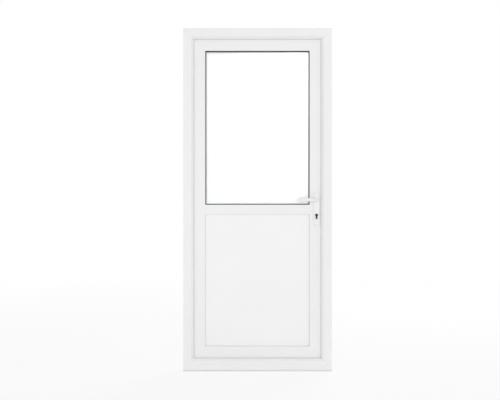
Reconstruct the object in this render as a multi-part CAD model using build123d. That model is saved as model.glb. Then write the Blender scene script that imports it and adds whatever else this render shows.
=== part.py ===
from build123d import *
from math import cos, pi, radians, sin
import os

os.makedirs("parts", exist_ok=True)

# Half-glazed plastic entrance door in its own frame, hinged at the left and opening inwards.
# Millimetres. X runs to the right seen from outside, Y from outside to inside, Z up.
# The origin is the middle of the underside of the base strip, at half the frame's depth.
# u is the distance inwards from the outer edge of the frame, the same on all four sides.

# Overall size
WIDTH = 890
HEIGHT = 2055
BASE_STRIP_HEIGHT = 12
BASE_STRIP_NOSE = 6
BASE_STRIP_SLOPE = 4

# Frame profile, in u and Y
FRAME_OUTSIDE = -35
FRAME_INSIDE = 35
FRAME_FACE_U = 46
FRAME_FACE_ROUND = 12
FRAME_TIP_U = 62
FRAME_TIP_FRONT = -22
UPSTAND_BACK = -17
REBATE_FLOOR_U = 43

# Leaf profile, in u and Y
LEAF_OUTSIDE = -12
LEAF_INSIDE = 58
LEAF_EDGE_U = 55
FLANGE_EDGE_U = 37
FLANGE_BACK = 40
LIP_TIP_U = 131
LIP_BACK = 3
REBATE_DEPTH = 18
GROOVE_WIDTH = 16
GROOVE_DEPTH = 3
CORNER_ROUND = 2.5

# Seals between frame and leaf
SEAL_CLEARANCE = 0.5
FRAME_SEAL_WIDTH = 7
FRAME_SEAL_BULGE = 1.5
LEAF_SEAL_START = 1.5
LEAF_SEAL_WIDTH = 4.5
SEAL_TAPER = 1

# Glass, panel and what holds them
MID_RAIL_BOTTOM = 938
MID_RAIL_TOP = 997
INFILL_FRONT = 6
INFILL_BACK = 34
EDGE_GAP = 4
PANE_THICKNESS = 4
BEAD_FRONT = 37
BEAD_SLOPE_HEIGHT = 10
BEAD_SLOPE_WIDTH = 7
BEAD_ROUND = 3
GASKET_DEPTH = 8
GASKET_BULGE = 2
GLASS_GASKET_SHOWS = 5
PANEL_GASKET_SHOWS = 2
INNER_GASKET_SHARE = 0.6
SPACER_INSET = 5
SPACER_WIDTH = 11

# Handle plates
BACKSET = 35
SPINDLE_Z = 1026.5
LOCK_CENTRES = 92
PLATE_WIDTH = 34
PLATE_HEIGHT = 202
PLATE_CORNER = 14
PLATE_CHAMFER = 3
PLATE_THICKNESS = 9
PLATE_TOP_Z = 1073
COLLAR_RADIUS = 13
COLLAR_HEIGHT = 3

# Levers. A station of the grip is its share of the reach, of the grip's height and thickness.
LEVER_REACH = 110
LEVER_STANDOFF = 52
LEVER_BEND = 18
LEVER_FACETS = 20
GRIP_HEIGHT = 22
GRIP_THICKNESS = 12
GRIP_STATIONS = ((0.45, 0.87, 1.12), (0.75, 1, 1.04))
GRIP_DOME = 7
DOME_ANGLES = (0, 30, 55, 76)
BEND_HALF_THICKNESS = 7.5
BEND_STEPS = 4
NECK_RADIUS = 9
RUNNING_CLEARANCE = 0.05
SPINDLE_SIZE = 8
SPINDLE_GRIP = 20
SPINDLE_HOLE_RADIUS = 11

# Lock. Each bolt slot is its middle height and its length.
PROFILE_RADIUS = 8.5
PROFILE_LOBE_RADIUS = 5
PROFILE_HEIGHT = 33
CYLINDER_STAND_OUT = 3
CYLINDER_CLEARANCE = 0.5
KEY_SLOT_WIDTH = 2
KEY_SLOT_HEIGHT = 9
KEY_SLOT_DEPTH = 4
FACEPLATE_ENDS = (300, 1750)
BOLT_WIDTH = 12
BOLT_LENGTH = 24
BOLT_CLEARANCE = 0.3
LATCH_SLOT = (1090, 24)
BOLT_SLOT = (885, 34)
HOOK_SLOTS = ((450, 60), (1600, 60))
BOLT_SLOTS = (LATCH_SLOT, BOLT_SLOT, *HOOK_SLOTS)
KEEP_THICKNESS = 3
KEEP_WIDTH = 24
KEEP_CORNER = 5
KEEP_MARGIN = 15
KEEP_SIDE_GAP = 2
KEEP_END_GAP = 3
KEEP_POCKET_DEPTH = 16

# Hinges
HINGE_HEIGHTS = {"bottom": 250, "middle": 1034, "top": 1800}
HINGE_HALF_HEIGHT = 50
HINGE_PLATE_THICKNESS = 4
PIN_U = 24
PIN_Y = 62
PIN_RADIUS = 4
PIN_END_GAP = 0.5
KNUCKLE_RADIUS = 8.5
KNUCKLE_END = 4
KNUCKLE_GAP = 1
FRAME_PLATE_ENDS = (-20, 7)
FRAME_PLATE_CORNER = 5
WEB_FOOT = (-10, 6)
WEB_SHOULDER = 6
LEAF_PLATE_REACH = 51
LEAF_PLATE_CORNER = 6
FLANGE_CLEARANCE = 3

# Holes for the frame fixings
FIXING_HEIGHTS = (180, 745, 1310, 1875)
FIXING_Y = 9
FIXING_RADIUS = 5

# How far a cutting shape runs past what it cuts
CUT = 1
WEDGE_HALF_DEPTH = 200

# Worked out from the sizes above
PLATFORM_U = LIP_TIP_U - REBATE_DEPTH
LEAF_MIDDLE = (LEAF_OUTSIDE + LEAF_INSIDE) / 2
FRAME_RECT = (-WIDTH / 2, WIDTH / 2, BASE_STRIP_HEIGHT, HEIGHT)
PLATFORM_X = WIDTH / 2 - PLATFORM_U
REBATE_X = WIDTH / 2 - REBATE_FLOOR_U
LEAF_EDGE_X = WIDTH / 2 - LEAF_EDGE_U
HANDLE_X = LEAF_EDGE_X - BACKSET
GLASS_RECT = (-PLATFORM_X, PLATFORM_X, MID_RAIL_TOP - REBATE_DEPTH, HEIGHT - PLATFORM_U)
PANEL_RECT = (
    -PLATFORM_X,
    PLATFORM_X,
    BASE_STRIP_HEIGHT + PLATFORM_U,
    MID_RAIL_BOTTOM + REBATE_DEPTH,
)
LOCK_Z = SPINDLE_Z - LOCK_CENTRES
SIDES = ("left", "right", "bottom", "top")


# Shapes that several pieces share

def section(points, rounds=()):
    """Face with a closed outline in u and Y, some of its corners rounded."""
    face = make_face(Polyline(*points, close=True))
    for corner, radius in rounds:
        vertex = face.vertices().sort_by_distance((*corner, 0))[0]
        face = fillet(vertex, radius)
    return face


def block(x_range, y_range, z_range):
    """Box between two values on each axis."""
    size = [high - low for low, high in (x_range, y_range, z_range)]
    centre = [(high + low) / 2 for low, high in (x_range, y_range, z_range)]
    return Pos(*centre) * Box(*size)


def side_plane(side, rect):
    """Plane whose X is u and whose Y is Y, at the start of one side of a rectangle, and its length."""
    left, right, bottom, top = rect
    planes = {
        "left": (Plane((left, 0, bottom), x_dir=(1, 0, 0), z_dir=(0, 0, 1)), top - bottom),
        "right": (Plane((right, 0, top), x_dir=(-1, 0, 0), z_dir=(0, 0, -1)), top - bottom),
        "bottom": (Plane((right, 0, bottom), x_dir=(0, 0, 1), z_dir=(-1, 0, 0)), right - left),
        "top": (Plane((left, 0, top), x_dir=(0, 0, -1), z_dir=(1, 0, 0)), right - left),
    }
    return planes[side]


def mitred_member(face, side, rect):
    """Bar of one section along a side of a rectangle, cut at 45 degrees at both ends."""
    plane, length = side_plane(side, rect)
    bar = extrude(face, length, dir=(0, 0, 1))
    depth = face.bounding_box().max.X + CUT
    mitres = [(-CUT, -CUT), (depth, depth), (depth, length - depth), (-CUT, length + CUT)]
    wedge_face = Plane.XZ * make_face(Polyline(*mitres, close=True))
    wedge = extrude(wedge_face, WEDGE_HALF_DEPTH, both=True)
    return plane.location * (bar & wedge)


def ring(face, rect):
    """The four members of a rectangle joined into one closed ring."""
    left, right, bottom, top = [mitred_member(face, side, rect) for side in SIDES]
    return left + right + bottom + top


def to_inside(shape):
    """Mirror image on the other face of the leaf."""
    return mirror(shape, Plane((0, LEAF_MIDDLE, 0), z_dir=(0, 1, 0)))


# Outer frame

def frame_section():
    """Frame profile: flat face, chamfer and upstand outside, deep rebate inside."""
    points = [
        (0, FRAME_OUTSIDE),
        (FRAME_FACE_U, FRAME_OUTSIDE),
        (FRAME_TIP_U, FRAME_TIP_FRONT),
        (FRAME_TIP_U, UPSTAND_BACK),
        (REBATE_FLOOR_U, UPSTAND_BACK),
        (REBATE_FLOOR_U, FRAME_INSIDE),
        (0, FRAME_INSIDE),
    ]
    rounds = [
        ((FRAME_FACE_U, FRAME_OUTSIDE), FRAME_FACE_ROUND),
        ((FRAME_TIP_U, FRAME_TIP_FRONT), CORNER_ROUND),
        ((REBATE_FLOOR_U, FRAME_INSIDE), CORNER_ROUND),
    ]
    return section(points, rounds)


def fixing_holes(side):
    """Holes through a jamb from its rebate to its outer face."""
    x = (-1 if side == "left" else 1) * (WIDTH / 2 - REBATE_FLOOR_U / 2)
    drill = Rot(0, 90, 0) * Cylinder(FIXING_RADIUS, REBATE_FLOOR_U + 2 * CUT)
    return [Pos(x, FIXING_Y, z) * drill for z in FIXING_HEIGHTS]


def frame_member(side):
    """One side of the frame; the jambs have fixing holes and the lock jamb has bolt pockets."""
    member = mitred_member(frame_section(), side, FRAME_RECT)
    if side in ("left", "right"):
        member -= fixing_holes(side)
    if side == "right":
        half_width = BOLT_WIDTH / 2 + KEEP_SIDE_GAP
        for z, height in BOLT_SLOTS:
            half_height = height / 2 + KEEP_END_GAP
            member -= block(
                (REBATE_X - CUT, REBATE_X + KEEP_POCKET_DEPTH),
                (LEAF_MIDDLE - half_width, LEAF_MIDDLE + half_width),
                (z - half_height, z + half_height),
            )
    return member


def base_strip():
    """Strip under the frame, with a sloping nose that sheds water on the outside."""
    nose = FRAME_OUTSIDE - BASE_STRIP_NOSE
    points = [
        (nose, 0),
        (FRAME_INSIDE, 0),
        (FRAME_INSIDE, BASE_STRIP_HEIGHT),
        (FRAME_OUTSIDE, BASE_STRIP_HEIGHT),
        (nose, BASE_STRIP_HEIGHT - BASE_STRIP_SLOPE),
    ]
    face = Plane.YZ * make_face(Polyline(*points, close=True))
    return extrude(face, WIDTH / 2, both=True)


def frame_seal():
    """Soft ring on the back of the upstand, just clear of the closed leaf."""
    seal_back = LEAF_OUTSIDE - SEAL_CLEARANCE
    points = [
        (FRAME_TIP_U - FRAME_SEAL_WIDTH, UPSTAND_BACK),
        (FRAME_TIP_U, UPSTAND_BACK),
        (FRAME_TIP_U + FRAME_SEAL_BULGE, UPSTAND_BACK + FRAME_SEAL_BULGE),
        (FRAME_TIP_U, seal_back),
        (FRAME_TIP_U - FRAME_SEAL_WIDTH + SEAL_TAPER, seal_back),
    ]
    return ring(section(points), FRAME_RECT)


def keep_plate(slots):
    """Plate on the rebate floor of the lock jamb with an opening for each bolt it takes."""
    low = min(z - height / 2 for z, height in slots) - KEEP_MARGIN
    high = max(z + height / 2 for z, height in slots) + KEEP_MARGIN
    outline = RectangleRounded(KEEP_WIDTH, high - low, KEEP_CORNER)
    outline = Pos(LEAF_MIDDLE, (low + high) / 2) * outline
    for z, height in slots:
        opening = Rectangle(BOLT_WIDTH + 2 * KEEP_SIDE_GAP, height + 2 * KEEP_END_GAP)
        outline -= Pos(LEAF_MIDDLE, z) * opening
    plate_plane = Plane((REBATE_X - KEEP_THICKNESS, 0, 0), x_dir=(0, 1, 0), z_dir=(1, 0, 0))
    return extrude(plate_plane * outline, KEEP_THICKNESS, dir=(1, 0, 0))


def hook_keeps():
    """The keeps of the upper and lower hook."""
    return [keep_plate([slot]) for slot in HOOK_SLOTS]


# Leaf

def leaf_section():
    """Leaf profile: flange over the frame inside, hardware groove, glazing lip outside."""
    groove_low = LEAF_MIDDLE - GROOVE_WIDTH / 2
    groove_high = LEAF_MIDDLE + GROOVE_WIDTH / 2
    points = [
        (LEAF_EDGE_U, LEAF_OUTSIDE),
        (LIP_TIP_U, LEAF_OUTSIDE),
        (LIP_TIP_U, LIP_BACK),
        (PLATFORM_U, LIP_BACK),
        (PLATFORM_U, LEAF_INSIDE),
        (FLANGE_EDGE_U, LEAF_INSIDE),
        (FLANGE_EDGE_U, FLANGE_BACK),
        (LEAF_EDGE_U, FLANGE_BACK),
        (LEAF_EDGE_U, groove_high),
        (LEAF_EDGE_U + GROOVE_DEPTH, groove_high),
        (LEAF_EDGE_U + GROOVE_DEPTH, groove_low),
        (LEAF_EDGE_U, groove_low),
    ]
    rounds = [
        ((LEAF_EDGE_U, LEAF_OUTSIDE), CORNER_ROUND),
        ((LIP_TIP_U, LEAF_OUTSIDE), CORNER_ROUND),
        ((FLANGE_EDGE_U, LEAF_INSIDE), CORNER_ROUND),
    ]
    return section(points, rounds)


def bolt_blocks(margin):
    """A block for each bolt, flush with the leaf's edge and larger than the bolt by a margin."""
    half_width = BOLT_WIDTH / 2 + margin
    return [
        block(
            (LEAF_EDGE_X - BOLT_LENGTH - margin, LEAF_EDGE_X),
            (LEAF_MIDDLE - half_width, LEAF_MIDDLE + half_width),
            (z - height / 2 - margin, z + height / 2 + margin),
        )
        for z, height in BOLT_SLOTS
    ]


def bolt_pockets():
    """Spaces in the lock stile for the withdrawn bolts."""
    return bolt_blocks(BOLT_CLEARANCE)


def leaf_member(side):
    """One side of the leaf; the lock stile is cut for the spindle, the cylinder and the bolts."""
    member = mitred_member(leaf_section(), side, FRAME_RECT)
    if side == "right":
        depth = LEAF_INSIDE - LEAF_OUTSIDE + 2 * CUT
        spindle_hole = Rot(90, 0, 0) * Cylinder(SPINDLE_HOLE_RADIUS, depth)
        member -= Pos(HANDLE_X, LEAF_MIDDLE, SPINDLE_Z) * spindle_hole
        member -= cylinder_bar(CYLINDER_CLEARANCE, LEAF_OUTSIDE - CUT, LEAF_INSIDE + CUT)
        member -= bolt_pockets()
    return member


def mid_rail(stiles):
    """Cross rail with a glazing lip above and below, its ends shaped to fit the stiles."""
    core_bottom = MID_RAIL_BOTTOM + REBATE_DEPTH
    core_top = MID_RAIL_TOP - REBATE_DEPTH
    points = [
        (LEAF_OUTSIDE, MID_RAIL_BOTTOM),
        (LEAF_OUTSIDE, MID_RAIL_TOP),
        (LIP_BACK, MID_RAIL_TOP),
        (LIP_BACK, core_top),
        (LEAF_INSIDE, core_top),
        (LEAF_INSIDE, core_bottom),
        (LIP_BACK, core_bottom),
        (LIP_BACK, MID_RAIL_BOTTOM),
    ]
    rounds = [
        ((LEAF_OUTSIDE, MID_RAIL_BOTTOM), CORNER_ROUND),
        ((LEAF_OUTSIDE, MID_RAIL_TOP), CORNER_ROUND),
    ]
    rail = extrude(Plane.YZ * section(points, rounds), PLATFORM_X, both=True)
    return rail - stiles


def leaf_seal():
    """Soft ring on the back of the flange, just clear of the frame's inside face."""
    start = FLANGE_EDGE_U + LEAF_SEAL_START
    end = start + LEAF_SEAL_WIDTH
    tip = FRAME_INSIDE + SEAL_CLEARANCE
    points = [(start, FLANGE_BACK), (end, FLANGE_BACK), (end - SEAL_TAPER, tip), (start + SEAL_TAPER, tip)]
    return ring(section(points), FRAME_RECT)


# Glass and panel. Their sections are measured from the glazing platform, not from the frame's edge.

def infill_slab(rect, front, back):
    """Pane or panel inside an opening, with the same small gap at all four edges."""
    left, right, bottom, top = rect
    x_range = (left + EDGE_GAP, right - EDGE_GAP)
    return block(x_range, (front, back), (bottom + EDGE_GAP, top - EDGE_GAP))


def infill_gaskets(rect, show):
    """Outer and inner gasket of one opening, showing past the lip and the bead by a given width."""
    lip = REBATE_DEPTH
    outside = section([
        (lip - GASKET_DEPTH, LIP_BACK),
        (lip, LIP_BACK),
        (lip, LIP_BACK - GASKET_BULGE),
        (lip + show, INFILL_FRONT),
        (lip - GASKET_DEPTH, INFILL_FRONT),
    ])
    inside = section([
        (lip - GASKET_DEPTH, INFILL_BACK),
        (lip + show * INNER_GASKET_SHARE, INFILL_BACK),
        (lip, BEAD_FRONT),
        (lip - GASKET_DEPTH, BEAD_FRONT),
    ])
    return [ring(outside, rect), ring(inside, rect)]


def bead(side, rect):
    """Clip-in bead that holds the glass or panel from inside, with a rounded slope to the face."""
    slope_start = (REBATE_DEPTH, LEAF_INSIDE - BEAD_SLOPE_HEIGHT)
    slope_end = (REBATE_DEPTH - BEAD_SLOPE_WIDTH, LEAF_INSIDE)
    points = [(0, BEAD_FRONT), (REBATE_DEPTH, BEAD_FRONT), slope_start, slope_end, (0, LEAF_INSIDE)]
    rounds = [(slope_start, BEAD_ROUND), (slope_end, BEAD_ROUND)]
    return mitred_member(section(points, rounds), side, rect)


def glass_spacer():
    """Bar round the edge of the double glazing that keeps the panes apart."""
    front = INFILL_FRONT + PANE_THICKNESS
    back = INFILL_BACK - PANE_THICKNESS
    inner = SPACER_INSET + SPACER_WIDTH
    points = [(SPACER_INSET, front), (inner, front), (inner, back), (SPACER_INSET, back)]
    return ring(section(points), GLASS_RECT)


# Lock and handles

def cylinder_bar(margin, y_from, y_to):
    """Bar with the keyhole-shaped section of a profile cylinder, made larger by a margin."""
    lobe_drop = PROFILE_HEIGHT - PROFILE_RADIUS - PROFILE_LOBE_RADIUS
    outline = Circle(PROFILE_RADIUS + margin)
    outline += Pos(0, -lobe_drop) * Circle(PROFILE_LOBE_RADIUS + margin)
    outline += Pos(0, -lobe_drop / 2) * Rectangle(2 * (PROFILE_LOBE_RADIUS + margin), lobe_drop)
    face_plane = Plane((HANDLE_X, y_from, LOCK_Z), x_dir=(1, 0, 0), z_dir=(0, -1, 0))
    return extrude(face_plane * outline, y_to - y_from, dir=(0, 1, 0))


def lock_cylinder():
    """Profile cylinder through the leaf, with a key slot at each end."""
    outside = LEAF_OUTSIDE - PLATE_THICKNESS - CYLINDER_STAND_OUT
    inside = LEAF_INSIDE + PLATE_THICKNESS + CYLINDER_STAND_OUT
    body = cylinder_bar(0, outside, inside)
    key_slot = Box(KEY_SLOT_WIDTH, 2 * KEY_SLOT_DEPTH, KEY_SLOT_HEIGHT)
    for y in (outside, inside):
        body -= Pos(HANDLE_X, y, LOCK_Z) * key_slot
    return body


def lock_faceplate():
    """Long steel strip in the hardware groove, with openings for the latch, bolt and hooks."""
    low, high = FACEPLATE_ENDS
    play = 2 * BOLT_CLEARANCE
    outline = Pos(LEAF_MIDDLE, (low + high) / 2) * Rectangle(GROOVE_WIDTH, high - low)
    for z, height in BOLT_SLOTS:
        outline -= Pos(LEAF_MIDDLE, z) * Rectangle(BOLT_WIDTH + play, height + play)
    strip_plane = Plane((LEAF_EDGE_X - GROOVE_DEPTH, 0, 0), x_dir=(0, 1, 0), z_dir=(1, 0, 0))
    return extrude(strip_plane * outline, GROOVE_DEPTH, dir=(1, 0, 0))


def lock_bolts():
    """Latch, dead bolt and two hooks, all withdrawn flush with the faceplate."""
    return bolt_blocks(0)


def outside_barrel(radius, y_from, length):
    """Round bar on the spindle's axis that runs outwards from a given depth."""
    return Pos(HANDLE_X, y_from - length / 2, SPINDLE_Z) * Rot(90, 0, 0) * Cylinder(radius, length)


def outside_backplate():
    """Long plate with round ends and a collar that guides the lever's neck."""
    face_plane = Plane((HANDLE_X, LEAF_OUTSIDE, 0), x_dir=(1, 0, 0), z_dir=(0, -1, 0))
    middle_z = PLATE_TOP_Z - PLATE_HEIGHT / 2
    outline = Pos(0, middle_z) * RectangleRounded(PLATE_WIDTH, PLATE_HEIGHT, PLATE_CORNER)
    plate = extrude(face_plane * outline, PLATE_THICKNESS, dir=(0, -1, 0))
    front_edges = plate.faces().sort_by(Axis.Y)[0].edges()
    plate = chamfer(front_edges, PLATE_CHAMFER)
    plate += outside_barrel(COLLAR_RADIUS, LEAF_OUTSIDE, PLATE_THICKNESS + COLLAR_HEIGHT)
    bore_radius = NECK_RADIUS + RUNNING_CLEARANCE
    plate -= outside_barrel(bore_radius, LEAF_OUTSIDE + CUT, PLATE_THICKNESS + COLLAR_HEIGHT + 2 * CUT)
    plate -= cylinder_bar(CYLINDER_CLEARANCE, LEAF_OUTSIDE - PLATE_THICKNESS - CUT, LEAF_OUTSIDE + CUT)
    return plate


def spindle():
    """Square bar that joins the two levers."""
    length = LEAF_INSIDE - LEAF_OUTSIDE + 2 * (PLATE_THICKNESS + SPINDLE_GRIP)
    return Pos(HANDLE_X, LEAF_MIDDLE, SPINDLE_Z) * Box(SPINDLE_SIZE, length, SPINDLE_SIZE)


def lever_station(x, y, turn, half_height, half_thickness):
    """Oval section of the lever, square to its centre line after a turn from straight out."""
    angles = [2 * pi * facet / LEVER_FACETS for facet in range(LEVER_FACETS)]
    oval = Polyline(*[(half_height * cos(a), half_thickness * sin(a)) for a in angles], close=True)
    toward = (-sin(turn), -cos(turn), 0)
    plane = Plane((HANDLE_X + x, y, SPINDLE_Z), x_dir=(0, 0, 1), z_dir=toward)
    return (plane * make_face(oval)).face()


def bend_stations():
    """Sections round the bend, from the round neck to a slightly flatter oval."""
    bend_y = LEAF_OUTSIDE - LEVER_STANDOFF + LEVER_BEND
    stations = []
    for step in range(BEND_STEPS + 1):
        share = step / BEND_STEPS
        turn = share * pi / 2
        x = -LEVER_BEND * (1 - cos(turn))
        y = bend_y - LEVER_BEND * sin(turn)
        half_thickness = NECK_RADIUS + share * (BEND_HALF_THICKNESS - NECK_RADIUS)
        stations.append(lever_station(x, y, turn, NECK_RADIUS, half_thickness))
    return stations


def grip_stations():
    """Sections of the grip, which widens towards the tip and ends in a dome."""
    y = LEAF_OUTSIDE - LEVER_STANDOFF
    half_height = GRIP_HEIGHT / 2
    half_thickness = GRIP_THICKNESS / 2
    stations = []
    for share, height, thickness in GRIP_STATIONS:
        x = -share * LEVER_REACH
        stations.append(lever_station(x, y, pi / 2, height * half_height, thickness * half_thickness))
    for degrees in DOME_ANGLES:
        angle = radians(degrees)
        shrink = cos(angle)
        x = -LEVER_REACH + GRIP_DOME * (1 - sin(angle))
        stations.append(lever_station(x, y, pi / 2, shrink * half_height, shrink * half_thickness))
    return stations


def outside_lever():
    """Round neck in the backplate's collar, one bend, and the grip."""
    neck_start = LEAF_OUTSIDE - CUT
    neck_length = neck_start - (LEAF_OUTSIDE - LEVER_STANDOFF + LEVER_BEND)
    neck = outside_barrel(NECK_RADIUS, neck_start, neck_length)
    arm = loft(bend_stations() + grip_stations(), ruled=True)
    return neck + arm - spindle()


# Hinges. Each is drawn about the middle of its pin: X away from the jamb, Y to the inside, Z up.

def at_hinge(name, shape):
    """Shape moved from the pin's own axes to one of the three hinges."""
    return Pos(PIN_U - WIDTH / 2, PIN_Y, HINGE_HEIGHTS[name]) * shape


def knuckle(z_from, z_to, bore_from, bore_to):
    """Round barrel and the blind bore for the pin in it."""
    length = z_to - z_from
    barrel = Pos(0, 0, (z_from + z_to) / 2) * Cylinder(KNUCKLE_RADIUS, length)
    bore_radius = PIN_RADIUS + RUNNING_CLEARANCE
    bore = Pos(0, 0, (bore_from + bore_to) / 2) * Cylinder(bore_radius, bore_to - bore_from)
    return barrel, bore


def hinge_frame_half():
    """Plate on the frame's inside face, with a web to the lower knuckle."""
    face_y = FRAME_INSIDE - PIN_Y
    web_y = face_y + HINGE_PLATE_THICKNESS / 2
    low = -HINGE_HALF_HEIGHT
    left, right = FRAME_PLATE_ENDS
    plate_plane = Plane((0, face_y, 0), x_dir=(1, 0, 0), z_dir=(0, -1, 0))
    outline = RectangleRounded(right - left, 2 * HINGE_HALF_HEIGHT, FRAME_PLATE_CORNER)
    outline = Pos((left + right) / 2, 0) * outline
    plate = extrude(plate_plane * outline, HINGE_PLATE_THICKNESS, dir=(0, 1, 0))
    web_points = [
        (WEB_FOOT[0], web_y),
        (WEB_FOOT[1], web_y),
        (KNUCKLE_RADIUS, -WEB_SHOULDER),
        (KNUCKLE_RADIUS, 0),
        (-KNUCKLE_RADIUS, 0),
        (-KNUCKLE_RADIUS, -WEB_SHOULDER),
    ]
    web_face = Pos(0, 0, low) * make_face(Polyline(*web_points, close=True))
    web = extrude(web_face, HINGE_HALF_HEIGHT - KNUCKLE_GAP, dir=(0, 0, 1))
    barrel, bore = knuckle(low, -KNUCKLE_GAP, low + KNUCKLE_END, 0)
    return plate + web + barrel - bore


def hinge_leaf_half():
    """Flag-shaped plate on the leaf's inside face, rolled into the upper knuckle."""
    face_y = LEAF_INSIDE - PIN_Y
    low = -HINGE_HALF_HEIGHT
    high = HINGE_HALF_HEIGHT
    inner_x = FLANGE_EDGE_U - PIN_U + FLANGE_CLEARANCE
    points = [
        (0, KNUCKLE_GAP),
        (0, high),
        (LEAF_PLATE_REACH, high),
        (LEAF_PLATE_REACH, low),
        (inner_x, low),
        (inner_x, KNUCKLE_GAP),
    ]
    outline = make_face(Polyline(*points, close=True))
    for corner in ((LEAF_PLATE_REACH, high), (LEAF_PLATE_REACH, low), (inner_x, low)):
        vertex = outline.vertices().sort_by_distance((*corner, 0))[0]
        outline = fillet(vertex, LEAF_PLATE_CORNER)
    flag_plane = Plane((0, face_y, 0), x_dir=(1, 0, 0), z_dir=(0, -1, 0))
    flag = extrude(flag_plane * outline, HINGE_PLATE_THICKNESS, dir=(0, 1, 0))
    barrel, bore = knuckle(KNUCKLE_GAP, high, 0, high - KNUCKLE_END)
    return flag + barrel - bore


def hinge_pin():
    """Pin through both knuckles, a little shorter than their bores."""
    reach = HINGE_HALF_HEIGHT - KNUCKLE_END - PIN_END_GAP
    return Cylinder(PIN_RADIUS, 2 * reach)


# All pieces by name

def make_pieces():
    """Every piece of the door in place, by name."""
    pieces = {
        "frame_head": frame_member("top"),
        "frame_hinge_jamb": frame_member("left"),
        "frame_lock_jamb": frame_member("right"),
        "frame_bottom_rail": frame_member("bottom"),
        "base_strip": base_strip(),
        "frame_seal": frame_seal(),
        "lock_keep": keep_plate([LATCH_SLOT, BOLT_SLOT]),
        "hook_keeps": hook_keeps(),
        "leaf_top_rail": leaf_member("top"),
        "leaf_bottom_rail": leaf_member("bottom"),
        "leaf_hinge_stile": leaf_member("left"),
        "leaf_lock_stile": leaf_member("right"),
        "leaf_seal": leaf_seal(),
        "glass_outer_pane": infill_slab(GLASS_RECT, INFILL_FRONT, INFILL_FRONT + PANE_THICKNESS),
        "glass_inner_pane": infill_slab(GLASS_RECT, INFILL_BACK - PANE_THICKNESS, INFILL_BACK),
        "glass_spacer": glass_spacer(),
        "glass_gaskets": infill_gaskets(GLASS_RECT, GLASS_GASKET_SHOWS),
        "infill_panel": infill_slab(PANEL_RECT, INFILL_FRONT, INFILL_BACK),
        "panel_gaskets": infill_gaskets(PANEL_RECT, PANEL_GASKET_SHOWS),
        "lock_faceplate": lock_faceplate(),
        "lock_bolts": lock_bolts(),
        "lock_cylinder": lock_cylinder(),
        "outside_backplate": outside_backplate(),
        "spindle": spindle(),
        "outside_lever": outside_lever(),
    }
    pieces["mid_rail"] = mid_rail([pieces["leaf_hinge_stile"], pieces["leaf_lock_stile"]])
    pieces["inside_backplate"] = to_inside(pieces["outside_backplate"])
    pieces["inside_lever"] = to_inside(pieces["outside_lever"])
    for side in SIDES:
        pieces[f"glass_bead_{side}"] = bead(side, GLASS_RECT)
        pieces[f"panel_bead_{side}"] = bead(side, PANEL_RECT)
    for name in HINGE_HEIGHTS:
        pieces[f"{name}_hinge_frame_half"] = at_hinge(name, hinge_frame_half())
        pieces[f"{name}_hinge_leaf_half"] = at_hinge(name, hinge_leaf_half())
        pieces[f"{name}_hinge_pin"] = at_hinge(name, hinge_pin())
    return pieces


for name, piece in make_pieces().items():
    solids = Compound(piece) if isinstance(piece, list) else piece
    export_step(solids, f"parts/{name}.step")
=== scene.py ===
"""Half-glazed plastic entrance door with frosted glass: its finishes, fine pieces and a plain studio."""

import math

import bmesh
import bpy
import numpy as np
from bpy.props import FloatProperty, FloatVectorProperty, PointerProperty
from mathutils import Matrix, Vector


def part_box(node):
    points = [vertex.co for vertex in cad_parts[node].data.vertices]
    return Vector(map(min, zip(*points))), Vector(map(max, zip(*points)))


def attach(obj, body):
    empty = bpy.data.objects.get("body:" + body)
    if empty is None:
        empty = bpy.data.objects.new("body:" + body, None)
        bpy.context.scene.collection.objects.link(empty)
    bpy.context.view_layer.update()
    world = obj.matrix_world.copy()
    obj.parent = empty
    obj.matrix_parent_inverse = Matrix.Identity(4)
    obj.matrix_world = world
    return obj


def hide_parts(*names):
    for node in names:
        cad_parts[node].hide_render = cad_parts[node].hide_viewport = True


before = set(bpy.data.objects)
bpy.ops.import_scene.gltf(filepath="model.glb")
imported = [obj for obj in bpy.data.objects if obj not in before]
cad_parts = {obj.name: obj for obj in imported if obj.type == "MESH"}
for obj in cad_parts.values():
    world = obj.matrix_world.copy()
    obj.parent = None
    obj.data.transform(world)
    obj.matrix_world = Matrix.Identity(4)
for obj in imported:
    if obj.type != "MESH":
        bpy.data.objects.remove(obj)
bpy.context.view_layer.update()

bl_info = {
    "name": "Half-glazed door finishes",
    "version": (1, 0, 0),
    "blender": (4, 5, 0),
    "location": "3D View > Sidebar > Door",
    "description": "Finishes, fine pieces and studio for a half-glazed plastic door with frosted glass",
    "category": "Object",
}

MM = 0.001


def low(node):
    """Lowest corner of a node's box."""
    return np.array(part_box(node)[0])


def high(node):
    """Highest corner of a node's box."""
    return np.array(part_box(node)[1])


def middle(node):
    """Middle of a node's box."""
    return (low(node) + high(node)) / 2


def bead_rect(name):
    """Rectangle round the four beads of the glass or the panel: left, right, bottom, top."""
    return (
        low(f"{name}_bead_left")[0],
        high(f"{name}_bead_right")[0],
        low(f"{name}_bead_bottom")[2],
        high(f"{name}_bead_top")[2],
    )


RIGHT = np.array([1.0, 0.0, 0.0])
LEFT = -RIGHT
OUTSIDE = np.array([0.0, -1.0, 0.0])
INSIDE = -OUTSIDE

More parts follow.
